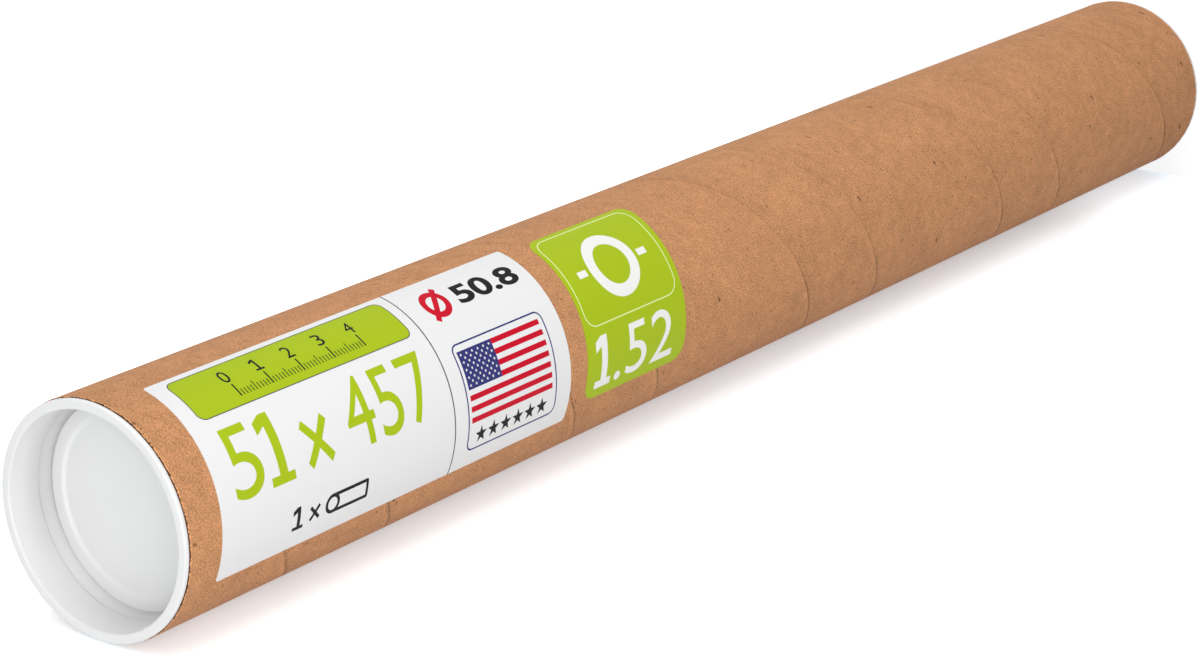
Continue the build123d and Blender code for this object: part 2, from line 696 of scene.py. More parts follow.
@dataclass(frozen=True)
class CutBoardFinish:
    """The sawn end of the tube, where the glued plies show as rings, with a painted shadow along its outer
    edge under the cap's flange.
    """

    name: str
    radius: float
    ply_thickness: float = 0.00038
    colour: Colour = (0.44, 0.22, 0.11, 1.0)
    glue_colour: Colour = (0.17, 0.085, 0.045, 1.0)
    glue_edge: Span = (0.38, 0.5)
    glue_weight: float = 0.7
    # painted shadow: a dark broken ring at the cut's outer edge
    rim_colour: Colour = (0.07, 0.032, 0.014, 1.0)
    rim_edge: Span = (0.0005, 0.0003)
    rim_breaks: Grain = Grain(120.0, 3.0, 0.6)
    rim_gaps: Span = (0.25, 0.5)
    fray: Grain = Grain(2400.0, 4.0, 0.7)
    fray_tone: float = 0.35
    roughness: float = 0.92
    relief: float = 0.00015

    def material(self) -> Material:
        """Build the material and return it."""
        material, graph = Graph.of_material(self.name)
        place = graph.place()
        depth = graph.minus(self.radius, graph.from_axis(*graph.axes(place)[:2]))
        plies = graph.math("FRACT", graph.math("DIVIDE", depth, self.ply_thickness))
        glue = graph.fade(graph.math("ABSOLUTE", graph.minus(plies, 0.5)), *self.glue_edge)
        fray = graph.noise(place, self.fray)
        board = graph.tint(self.colour, graph.plus(1.0, graph.sway(fray, self.fray_tone)))
        colour = graph.blend(graph.times(glue, self.glue_weight), board, self.glue_colour)
        # painted shadow where the cap's flange shades the cut's outer edge
        gap_shadow = graph.fade(depth, *self.rim_edge)
        broken = graph.fade(graph.noise(place, self.rim_breaks), *self.rim_gaps)
        colour = graph.blend(graph.times(gap_shadow, broken), colour, self.rim_colour)
        graph.surface(self.name, colour, self.roughness, fray, self.relief)
        return material


@dataclass(frozen=True)
class MouldedFinish:
    """White moulded polyethylene, smooth but a little wavy as it left the mould."""

    name: str
    colour: Colour = (0.79, 0.79, 0.79, 1.0)
    roughness: float = 0.3
    relief: float = 0.00006
    flow: Grain = Grain(90.0, 2.0, 0.5)
    flow_tone: float = 0.012
    flow_relief: float = 0.9
    skin: Grain = Grain(2200.0, 2.0, 0.5)
    skin_gloss: float = 0.05
    skin_relief: float = 0.1
    subsurface: float = 0.12
    subsurface_radius: float = 0.0012
    refraction: float = 1.5
    seats: Span = (0.0013, 0.4585)
    # painted shade: the dish's deep wall is painted darker, most on one side
    thin_shade: float = 0.19
    thin_depths: Span = (0.001, 0.0072)
    thin_inner: Span = (0.0233, 0.0238)
    thin_outer: Span = (0.0249, 0.0248)
    thin_side: Span = (0.95, 0.3)
    thin_reach: Span = (-0.004, 0.018)
    thin_least: float = 0.15

    def material(self) -> Material:
        """Build the material and return it."""
        material, graph = Graph.of_material(self.name)
        place = graph.place()
        flow = graph.noise(place, self.flow)
        skin = graph.noise(place, self.skin)
        # painted shade darkens the deep wall of the dish
        shade = graph.times(self._thin_wall(graph, place), self.thin_shade)
        tone = graph.minus(graph.plus(1.0, graph.sway(flow, self.flow_tone)), shade)
        colour = graph.tint(self.colour, tone)
        roughness = graph.plus(self.roughness, graph.sway(skin, self.skin_gloss))
        height = graph.weigh((flow, self.flow_relief), (skin, self.skin_relief))
        shader = graph.surface(self.name, colour, roughness, height, self.relief)
        graph.feed_all(
            shader,
            {
                "Subsurface Weight": self.subsurface,
                "Subsurface Radius": (self.subsurface_radius,) * 3,
                "Subsurface Scale": 1.0,
                "IOR": self.refraction,
            },
        )
        return material

    def _thin_wall(self, graph: Graph, place: Socket) -> Socket:
        """Return the painted shade on the deep wall of the plug's dish, strongest on one side."""
        x, y, z = graph.axes(place)
        radius = graph.from_axis(x, y)
        deep = graph.fade(graph.depth(z, self.seats), *self.thin_depths)
        inner, outer = (graph.fade(radius, *edge) for edge in (self.thin_inner, self.thin_outer))
        aside = graph.fade(graph.weigh(*zip((x, y), self.thin_side)), *self.thin_reach)
        side_share = graph.math("MULTIPLY_ADD", aside, 1.0 - self.thin_least, self.thin_least)
        return graph.times(deep, inner, outer, side_share)


@dataclass(frozen=True)
class PrintFinish:
    """Coated label paper or one ink on it."""

    name: str
    colour: Colour
    roughness: float = 0.42
    gloss: float = 0.06
    specular: float = 0.07
    relief: float = 0.00001
    cloud: float = 0.008
    tooth: float = 0.012

    def material(self, label_tooth: bpy.types.NodeTree) -> Material:
        """Build the material.

        Args:
            label_tooth: The group for coated paper.

        Returns:
            The material.
        """
        material, graph = Graph.of_material(self.name)
        paper = graph.group(label_tooth, Cloud=self.cloud, Tooth=self.tooth)
        colour = graph.tint(self.colour, paper.outputs["Tone"])
        roughness = graph.plus(self.roughness, graph.sway(paper.outputs["Height"], self.gloss))
        shader = graph.surface(self.name, colour, roughness, paper.outputs["Height"], self.relief)
        graph.feed(shader.inputs["Specular IOR Level"], self.specular)
        return material


class Ink(Enum):
    """The papers and inks of the labels, each with its finish."""

    WHITE_PAPER = PrintFinish("label_paper_white", (0.81, 0.81, 0.815, 1.0))
    GREEN_PAPER = PrintFinish("label_paper_green", (0.39, 0.515, 0.012, 1.0))
    GREEN = PrintFinish("ink_green", (0.39, 0.515, 0.012, 1.0))
    PALE_GREEN = PrintFinish("ink_pale_green", (0.76, 0.87, 0.41, 1.0))
    WHITE = PrintFinish("ink_white", (0.86, 0.87, 0.84, 1.0))
    BLACK = PrintFinish("ink_black", (0.006, 0.006, 0.007, 1.0))
    GREY = PrintFinish("ink_grey", (0.06, 0.06, 0.07, 1.0))
    RED = PrintFinish("ink_red", (0.57, 0.004, 0.022, 1.0))
    NAVY = PrintFinish("ink_navy", (0.035, 0.036, 0.17, 1.0))


class Inks:
    """Hands out each ink's material, built at its first use."""

    def __init__(self) -> None:
        """Build the paper group that all inks share."""
        self.label_tooth = Effects.label_tooth()
        self.made: dict[Ink, Material] = {}

    def material(self, ink: Ink) -> Material:
        """Return the ink's material."""
        if ink not in self.made:
            self.made[ink] = ink.value.material(self.label_tooth)
        return self.made[ink]


@dataclass
class PaperTube:
    """The spiral-wound paper tube, with the groove where its outer ply's edges meet."""

    radius: float
    bottom: float
    top: float
    wall: float = 0.001524
    rise: float = 0.1026
    seam_front: float = 0.0328
    steps: int = 360
    groove_width: float = 0.0002
    groove_depth: float = 0.00005
    end_round: float = 0.00016
    end_fray: float = 0.0001
    end_segments: int = 2
    end_rings: Span = (0.0007, 0.0025)
    fray_seed: int = 11
    liner_colour: Colour = (0.46, 0.21, 0.095, 1.0)
    liner_shift: float = 0.4
    cut_slope: float = 0.75
    cut_inset: float = 0.6
    crease: float = 40.0
    name: str = "wound_tube"

    def build(self) -> Piece:
        """Model the tube, dress it and seat it on its body.

        Returns:
            The finished piece.
        """
        tube = self._wind()
        self._groove(tube)
        self._cut_ends(tube)
        self._hollow(tube)
        self._soften_ends(tube)
        Bench.face_outwards(tube)
        self._dress(tube)
        Bench.finish(tube, self.name, self.crease)
        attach(tube, "tube")
        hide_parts("paper_tube")
        return tube

    def _wind(self) -> Piece:
        """Wind one upright edge into a skin whose only long edge is the spiral seam."""
        turns_below = math.ceil((self.seam_front - self.bottom) / self.rise) + 1
        start = self.seam_front - turns_below * self.rise
        half = self.rise / 2
        bpy.ops.mesh.primitive_plane_add(
            size=self.rise,
            location=(half, -self.radius, start + half),
            rotation=(math.pi / 2, 0.0, 0.0),
        )
        tube = bpy.context.object
        Bench.settle(tube)
        with Bench.editing(tube):
            Bench.pick(tube, Element.VERT, lambda vertex: vertex.co.x > half)
            bpy.ops.mesh.delete(type="VERT")
        turns = math.ceil((self.top - start) / self.rise) + 1
        Bench.apply(
            tube,
            "SCREW",
            axis="Z",
            angle=2 * math.pi,
            screw_offset=self.rise,
            iterations=turns,
            steps=self.steps,
            render_steps=self.steps,
        )
        with Bench.editing(tube):
            Bench.pick_all()
            bpy.ops.mesh.remove_doubles(threshold=TOUCHING)
        return tube

    def _groove(self, tube: Piece) -> None:
        """Widen the spiral seam into a strip and sink it below the skin."""
        with Bench.editing(tube):
            Bench.pick(tube, Element.EDGE, self._is_seam)
            bpy.ops.mesh.bevel(offset=self.groove_width / 2, segments=1, affect="EDGES")
            bpy.ops.mesh.select_mode(type="FACE")
            narrow = self.groove_width * 2
            Bench.pick(tube, Element.FACE, lambda face: self._height(face) < narrow + self._step_rise())
            bpy.ops.mesh.extrude_region_shrink_fatten(
                TRANSFORM_OT_shrink_fatten={"value": -self.groove_depth}
            )

    def _step_rise(self) -> float:
        """Return how far the seam climbs in one step of the winding."""
        return self.rise / self.steps

    def _is_seam(self, edge: bmesh.types.BMEdge) -> bool:
        """Say whether an edge is part of the spiral seam inside the wound skin."""
        low, high = (vertex.co for vertex in edge.verts)
        level = abs(low.z - high.z) < 2 * self._step_rise()
        return level and len(edge.link_faces) == 2

    @staticmethod
    def _height(face: bmesh.types.BMFace) -> float:
        """Return how tall a face is."""
        heights = [vertex.co.z for vertex in face.verts]
        return max(heights) - min(heights)

    def _cut_ends(self, tube: Piece) -> None:
        """Cut the skin square at both ends, and give it rings near them that keep the fray there."""
        with Bench.editing(tube):
            for height, way in ((self.bottom, -1.0), (self.top, 1.0)):
                for inset in (0.0, *self.end_rings):
                    Bench.pick_all()
                    place = (0.0, 0.0, height - way * inset)
                    outer = inset == 0.0
                    bpy.ops.mesh.bisect(plane_co=place, plane_no=(0.0, 0.0, way), clear_outer=outer)

    def _hollow(self, tube: Piece) -> None:
        """Turn both ends in to the bore and bridge them along it."""
        bore_share = (self.radius - self.wall) / self.radius
        with Bench.editing(tube):
            for height in (self.bottom, self.top):
                Bench.pick(
                    tube, Element.EDGE, lambda edge: edge.is_boundary and self._is_level(edge, height)
                )
                bpy.ops.mesh.extrude_edges_move(TRANSFORM_OT_translate={"value": (0.0, 0.0, 0.0)})
                bpy.ops.transform.resize(
                    value=(bore_share, bore_share, 1.0), center_override=(0.0, 0.0, height)
                )
            Bench.pick(tube, Element.EDGE, lambda edge: edge.is_boundary)
            bpy.ops.mesh.bridge_edge_loops()
        for vertex in tube.data.vertices:
            if vertex.co.xy.length < self.radius - self.wall / 2:
                vertex.co.xy = vertex.co.xy.normalized() * (self.radius - self.wall)

    @staticmethod
    def _is_level(edge: bmesh.types.BMEdge, height: float) -> bool:
        """Say whether an edge lies at a height."""
        return all(abs(vertex.co.z - height) < TOUCHING for vertex in edge.verts)

    def _soften_ends(self, tube: Piece) -> None:
        """Round the cut edges a little and fray them, never beyond the cut."""
        outside = self.radius - self.wall / 4
        with Bench.editing(tube):
            for height, way in ((self.bottom, 1.0), (self.top, -1.0)):
                Bench.pick(
                    tube,
                    Element.EDGE,
                    lambda edge: self._is_level(edge, height)
                    and all(vertex.co.xy.length > outside for vertex in edge.verts),
                )
                bpy.ops.mesh.bevel(offset=self.end_round, segments=self.end_segments, affect="EDGES")
                bpy.ops.transform.vertex_random(offset=self.end_fray, uniform=1.0, seed=self.fray_seed)
                bpy.ops.transform.translate(value=(0.0, 0.0, way * self.end_fray))

    def _dress(self, tube: Piece) -> None:
        """Give the outer ply, the cut ends and the bore their finishes."""
        ply_wrap = Effects.ply_wrap(self.radius, self.rise)
        paper_fibre = Effects.paper_fibre()
        ends = (self.bottom, self.top)
        outer = KraftFinish("kraft_outer_ply", seam_front=self.seam_front, ends=ends)
        liner = KraftFinish(
            "kraft_liner",
            ends=ends,
            colour=self.liner_colour,
            seam_front=self.seam_front + self.liner_shift * self.rise,
        )
        materials = (
            outer.material(ply_wrap, paper_fibre),
            CutBoardFinish("cut_board", self.radius).material(),
            liner.material(ply_wrap, paper_fibre),
        )
        for material in materials:
            tube.data.materials.append(material)
        outer_slot, cut_slot, liner_slot = range(len(materials))
        middle = self.radius - self.wall / 2
        cut_reach = self.radius - self.end_round * self.cut_inset
        for face in tube.data.polygons:
            reach = face.center.xy.length
            if abs(face.normal.z) > self.cut_slope and reach < cut_reach:
                face.material_index = cut_slot
            elif reach < middle:
                face.material_index = liner_slot
            else:
                face.material_index = outer_slot


@dataclass(frozen=True)
class Station:
    """One ring of the cap: a radius, a height above the flange's seat and a rounding."""

    radius: float
    height: float
    rounding: float = 0.0


@dataclass
class PlugCap:
    """A moulded cap whose flange sits on the tube's end and whose plug fills the bore."""

    name: str
    node: str
    body: str
    seat: float
    flange_radius: float
    flange_thickness: float
    plug_depth: float
    finish: Material
    flange_rounding: float = 0.0004
    skirt_radius: float = 0.0251
    rib_radius: float = 0.02535
    rib_depths: tuple[float, ...] = (0.005, 0.002)
    rib_height: float = 0.0014
    lead_in_radius: float = 0.0243
    lead_in_height: float = 0.0032
    mouth_radius: float = 0.0245
    mouth_rounding: float = 0.0005
    seat_rounding: float = 0.00045
    dish: tuple[Station, ...] = (
        Station(0.02415, -0.0070, 0.0002),
        Station(0.0246, -0.0074, 0.00015),
        Station(0.0240, -0.0109, 0.0002),
        Station(0.0236, -0.0109, 0.00015),
        Station(0.02345, -0.0102, 0.00025),
        Station(0.0206, -0.0103, 0.00025),
        Station(0.0199, -0.0109, 0.0003),
    )
    sides: int = 160
    segments: int = 4
    ring_tolerance: float = 1e-5
    crease: float = 32.0

    def stations(self) -> list[Station]:
        """Return the rings from the plug's end, up the outside and down into the dish."""
        rings = [
            Station(self.lead_in_radius, -self.plug_depth),
            Station(self.skirt_radius, self.lead_in_height - self.plug_depth),
        ]
        for depth in self.rib_depths:
            rings.append(Station(self.skirt_radius, -depth - self.rib_height))
            rings.append(Station(self.rib_radius, -depth))
            rings.append(Station(self.skirt_radius, -depth))
        rings += [
            Station(self.skirt_radius, 0.0),
            Station(self.flange_radius, 0.0, self.seat_rounding),
            Station(self.flange_radius, self.flange_thickness, self.flange_rounding),
            Station(self.mouth_radius, self.flange_thickness, self.mouth_rounding),
        ]
        return rings + list(self.dish)

    def build(self) -> Piece:
        """Mould the cap and seat it on its body.

        Returns:
            The finished piece.
        """
        cap = self._mould()
        Bench.face_outwards(cap)
        Bench.finish(cap, self.name, self.crease)
        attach(cap, self.body)
        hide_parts(self.node)
        return cap

    def _mould(self) -> Piece:
        """Model the cap and dress it."""
        cap = self._raise_rings()
        self._round_rings(cap)
        cap.data.materials.append(self.finish)
        return cap

    def _place(self, height: float) -> float:
        """Return the height in the frame of a height above the flange's seat."""
        return self.seat + height

    def _raise_rings(self) -> Piece:
        """Extrude and resize one disc from ring to ring."""
        first, *others = self.stations()
        bpy.ops.mesh.primitive_circle_add(
            vertices=self.sides,
            radius=first.radius,
            fill_type="NGON",
            location=(0.0, 0.0, self._place(first.height)),
        )
        cap = bpy.context.object
        Bench.settle(cap)
        last = first
        with Bench.editing(cap):
            bpy.ops.mesh.select_mode(type="FACE")
            Bench.pick_all()
            for ring in others:
                rise = ring.height - last.height
                bpy.ops.mesh.extrude_region_move(TRANSFORM_OT_translate={"value": (0.0, 0.0, rise)})
                share = ring.radius / last.radius
                bpy.ops.transform.resize(
                    value=(share, share, 1.0), center_override=(0.0, 0.0, self._place(ring.height))
                )
                last = ring
        return cap

    def _round_rings(self, cap: Piece) -> None:
        """Bevel each ring that has a rounding."""
        with Bench.editing(cap):
            for ring in self.stations():
                if ring.rounding:
                    Bench.pick(cap, Element.EDGE, lambda edge: self._on_ring(edge, ring))
                    bpy.ops.mesh.bevel(offset=ring.rounding, segments=self.segments, affect="EDGES")

    def _on_ring(self, edge: bmesh.types.BMEdge, ring: Station) -> bool:
        """Say whether an edge runs round a ring."""
        height = self._place(ring.height)
        gaps = ((vertex.co.z - height, vertex.co.xy.length - ring.radius) for vertex in edge.verts)
        return all(abs(gap) < self.ring_tolerance for pair in gaps for gap in pair)


@dataclass
class FarPlugCap(PlugCap):
    """The same moulding in the tube's other end: a copy of the first cap, turned over."""

    first: str = "upper_plug_cap"
    middle: float = 0.2299

    def _mould(self) -> Piece:
        """Copy the first cap's mesh and mirror it about the tube's middle."""
        cap = bpy.data.objects.new(self.name, bpy.data.meshes[self.first].copy())
        bpy.context.collection.objects.link(cap)
        with Bench.editing(cap):
            Bench.pick_all()
            centre = (0.0, 0.0, self.middle)
            bpy.ops.transform.resize(value=(1.0, 1.0, -1.0), center_override=centre)
        return cap


@dataclass(frozen=True)
class Area:
    """A field of a flat label in millimetres: along the tube from its top end, and across."""

    near: float
    far: float
    low: float
    high: float

    @property
    def middle(self) -> tuple[float, float, float]:
        """Return the middle of the area."""
        return ((self.near + self.far) / 2, (self.low + self.high) / 2, 0.0)

    @property
    def size(self) -> tuple[float, float, float]:
        """Return the length and the width of the area."""
        return (self.far - self.near, self.high - self.low, 1.0)

    def moved(self, along: float, across: float) -> "Area":
        """Return the area moved along and across the label."""
        return Area(self.near + along, self.far + along, self.low + across, self.high + across)


@dataclass(frozen=True)
class TubeWrap:
    """Lays flat artwork on the tube: its x runs down from the top end, its y to the right.

    The lean is how far the artwork slips down for each unit to the right, as the paper is
    laid on by hand.
    """

    radius: float
    top: float
    lean: float

    def lay(self, piece: Piece) -> None:
        """Wrap a flat piece, drawn in millimetres, on the tube.

        Args:
            piece: The flat mesh object. Its z is the height above the bare tube.
        """
        for vertex in piece.data.vertices:
            down, across, height = (value * MILLIMETRE for value in vertex.co)
            turn = across / self.radius
            reach = self.radius + height
            height_on_tube = self.top - down - self.lean * across
            vertex.co = (reach * math.sin(turn), -reach * math.cos(turn), height_on_tube)
        piece.data.update()


@dataclass
class Label:
    """A paper label with layers of print, drawn flat and then wrapped on the tube."""

    name: str
    node: str
    slot: str
    paper: Ink
    area: Area
    corner: float
    wrap: TubeWrap
    inks: Inks
    glue_gap: float = 0.02
    thickness: float = 0.1
    ink_thickness: float = 0.012
    slice_width: float = 1.2
    corner_segments: int = 8
    ring_sides: int = 72
    curve_steps: int = 6
    crease: float = 35.0
    layers: dict[int, list[Piece]] = field(default_factory=dict)

    def build(self) -> Piece:
        """Cut the sheet, print it, wrap it and seat it on its body.

        Returns:
            The finished piece.
        """
        self.rectangle(self.area, self.corner, self.paper, 0)
        self.draw()
        levels = [self._thicken(level, parts) for level, parts in sorted(self.layers.items())]
        label = Bench.join(levels)
        self.wrap.lay(label)
        Bench.finish(label, self.name, self.crease)
        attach(label, "tube")
        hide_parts(self.node)
        return label

    def draw(self) -> None:
        """Draw the label's print. Each label has its own."""

    def _thicken(self, level: int, parts: list[Piece]) -> Piece:
        """Slice the parts of one layer along the tube and give them their thickness."""
        layer = Bench.join(parts)
        with Bench.editing(layer):
            across = self.slice_width * math.ceil(self.area.low / self.slice_width)
            while across < self.area.high:
                Bench.pick_all()
                bpy.ops.mesh.bisect(plane_co=(0.0, across, 0.0), plane_no=(0.0, 1.0, 0.0))
                across += self.slice_width
        depth = self.ink_thickness * level if level else self.thickness
        base = self.glue_gap if level == 0 else self.glue_gap + self.thickness
        Bench.apply(layer, "SOLIDIFY", thickness=depth, offset=1.0)
        layer.location.z = base
        Bench.settle(layer)
        with Bench.editing(layer):
            Bench.pick_all()
            bpy.ops.mesh.normals_make_consistent(inside=False)
        return layer

    def _lay_ink(self, part: Piece, ink: Ink, level: int) -> None:
        """Give a flat part its ink and put it on a layer."""
        part.data.materials.clear()
        part.data.materials.append(self.inks.material(ink))
        self.layers.setdefault(level, []).append(part)

    def repeat(self, part: Piece, moves: Iterable[Span], level: int) -> None:
        """Copy a printed part to other places on its layer, each copy with its own mesh.

        Args:
            part: The printed part.
            moves: How far each copy lies from it, along and across the label.
            level: The part's layer.
        """
        for along, across in moves:
            Bench.take(part)
            bpy.ops.object.duplicate()
            copy = bpy.context.object
            copy.location = (along, across, 0.0)
            Bench.settle(copy)
            self.layers[level].append(copy)

    def rectangle(self, area: Area, corner: float, ink: Ink, level: int, turn: float = 0.0) -> Piece:
        """Print a field with rounded corners.

        Args:
            area: The field.
            corner: The radius of its corners.
            ink: The ink.
            level: The layer, counted from the bare sheet.
            turn: How far the field is turned about its middle, in degrees.

        Returns:
            The flat part.
        """
        length, width, _ = area.size
        part = self._sheet(Area(-length / 2, length / 2, -width / 2, width / 2))
        if corner:
            with Bench.editing(part):
                Bench.pick_all()
                bpy.ops.mesh.bevel(offset=corner, segments=self.corner_segments, affect="VERTICES")
        part.rotation_euler.z = math.radians(turn)
        part.location = area.middle
        Bench.settle(part)
        self._lay_ink(part, ink, level)
        return part

    @staticmethod
    def _sheet(area: Area) -> Piece:
        """Return a plain flat sheet that fills an area."""
        bpy.ops.mesh.primitive_plane_add(size=1.0)
        part = bpy.context.object
        part.scale = area.size
        part.location = area.middle
        Bench.settle(part)
        return part

    @staticmethod
    def _fill(part: Piece, area: Area) -> None:
        """Stretch and move a flat part so that it fills an area."""
        xs = [vertex.co.x for vertex in part.data.vertices]
        ys = [vertex.co.y for vertex in part.data.vertices]
        length, width, _ = area.size
        part.scale = (length / (max(xs) - min(xs)), width / (max(ys) - min(ys)), 1.0)
        part.location = (area.near - min(xs) * part.scale.x, area.low - min(ys) * part.scale.y, 0.0)
        Bench.settle(part)

    @staticmethod
    def _pull_edge(part: Piece, place: tuple[float, float], way: tuple[float, float]) -> None:
        """Extrude the edge whose middle is at a place."""
        middle = Vector((*place, 0.0))
        with Bench.editing(part):
            Bench.pick(
                part,
                Element.EDGE,
                lambda edge: ((edge.verts[0].co + edge.verts[1].co) / 2 - middle).length < 1e-4,
            )
            bpy.ops.mesh.extrude_edges_move(TRANSFORM_OT_translate={"value": (*way, 0.0)})

    def cross(self, area: Area, stroke: float, ink: Ink, level: int) -> None:
        """Print a multiplication cross.

        Args:
            area: The field that it fills.
            stroke: An arm's width as a share of its length.
            ink: The ink.
            level: The layer, counted from the bare sheet.
        """
        half = stroke / 2
        part = self._sheet(Area(-half, half, -half, half))
        for way in ((1.0, 0.0), (0.0, 1.0), (-1.0, 0.0), (0.0, -1.0)):
            self._pull_edge(part, (way[0] * half, way[1] * half), way)
        part.rotation_euler.z = math.radians(45.0)
        Bench.settle(part)
        self._fill(part, area)
        self._lay_ink(part, ink, level)

    def one(self, area: Area, stroke: float, ink: Ink, level: int) -> None:
        """Print a figure one with a flag and a foot.

        Args:
            area: The field that it fills.
            stroke: The width of its lines.
            ink: The ink.
            level: The layer, counted from the bare sheet.
        """
        stem, foot_share, flag_share, droop = 0.54, 0.8, 1.1, 0.55
        middle = area.near + area.size[0] * stem
        left, right = middle - stroke / 2, middle + stroke / 2
        foot, flag = area.low + stroke * foot_share, area.high - stroke * flag_share
        part = self._sheet(Area(left, right, area.low, area.high))
        with Bench.editing(part):
            for height in (foot, flag):
                Bench.pick_all()
                bpy.ops.mesh.bisect(plane_co=(0.0, height, 0.0), plane_no=(0.0, 1.0, 0.0))
        reach = left - area.near
        self._pull_edge(part, (left, (area.low + foot) / 2), (-reach, 0.0))
        self._pull_edge(part, (right, (area.low + foot) / 2), (area.far - right, 0.0))
        self._pull_edge(part, (left, (area.high + flag) / 2), (-reach, -reach * droop))
        self._lay_ink(part, ink, level)

    def frame(self, area: Area, corner: float, line: float, ink: Ink, level: int) -> None:
        """Print the outline of a field with rounded corners.

        Args:
            area: The outline's outside.
            corner: The radius of its corners.
            line: The line's width.
            ink: The ink.
            level: The layer, counted from the bare sheet.
        """
        part = self.rectangle(area, corner, ink, level)
        self._open_middle(part, line)

    def ring(self, centre: tuple[float, float], radius: float, line: float, ink: Ink, level: int) -> None:
        """Print a circle's line.

        Args:
            centre: The circle's centre.
            radius: The line's outer radius.
            line: The line's width.
            ink: The ink.
            level: The layer, counted from the bare sheet.
        """
        bpy.ops.mesh.primitive_circle_add(
            vertices=self.ring_sides, radius=radius, fill_type="NGON", location=(*centre, 0.0)
        )
        part = bpy.context.object
        Bench.settle(part)
        self._open_middle(part, line)
        self._lay_ink(part, ink, level)

    @staticmethod
    def _open_middle(part: Piece, line: float) -> None:
        """Leave only a line along a flat part's outline."""
        with Bench.editing(part):
            bpy.ops.mesh.select_mode(type="FACE")
            Bench.pick_all()
            bpy.ops.mesh.inset(thickness=line)
            bpy.ops.mesh.delete(type="FACE")

    def stars(self, centres: list[Span], radius: float, ink: Ink, level: int) -> None:
        """Print five-pointed stars of one size.

        Args:
            centres: The stars' centres.
            radius: The reach of their points.
            ink: The ink.
            level: The layer, counted from the bare sheet.
        """
        points, waist = 5, 0.4
        bpy.ops.mesh.primitive_circle_add(vertices=2 * points, radius=radius, fill_type="NGON")
        part = bpy.context.object
        with Bench.editing(part):
            Bench.pick(part, Element.VERT, lambda vertex: vertex.index % 2 == 1)
            bpy.ops.transform.resize(value=(waist, waist, 1.0), center_override=(0.0, 0.0, 0.0))
            bpy.ops.mesh.select_mode(type="FACE")
            Bench.pick_all()
            bpy.ops.mesh.quads_convert_to_tris()
        (along, across), *others = centres
        part.location = (along, across, 0.0)
        Bench.settle(part)
        self._lay_ink(part, ink, level)
        self.repeat(part, ((x - along, y - across) for x, y in others), level)

    def numerals(self, text: str, area: Area, weight: float, ink: Ink, level: int) -> None:
        """Print plain figures that fill a field.

        Args:
            text: The figures.
            area: The field that they fill.
            weight: How much the strokes are thickened, as a share of the text size.
            ink: The ink.
            level: The layer, counted from the bare sheet.
        """
        bpy.ops.object.text_add()
        part = bpy.context.object
        part.data.body = text
        part.data.offset = weight
        part.data.resolution_u = self.curve_steps
        Bench.take(part)
        bpy.ops.object.convert(target="MESH")
        part = bpy.context.object
        self._fill(part, area)
        self._lay_ink(part, ink, level)


@dataclass(frozen=True)
class Mark:
    """One kind of mark on a scale, at each multiple of a step that is no multiple of the next."""

    step: int
    next_step: int
    height: float
    width: float

    def places(self, length: int) -> list[int]:
        """Return the marks' places on a scale of a whole length."""
        return [place for place in range(0, length + 1, self.step) if self._own(place)]

    def _own(self, place: int) -> bool:
        """Say whether a place isn't taken by a longer mark."""
        return not self.next_step or place % self.next_step != 0


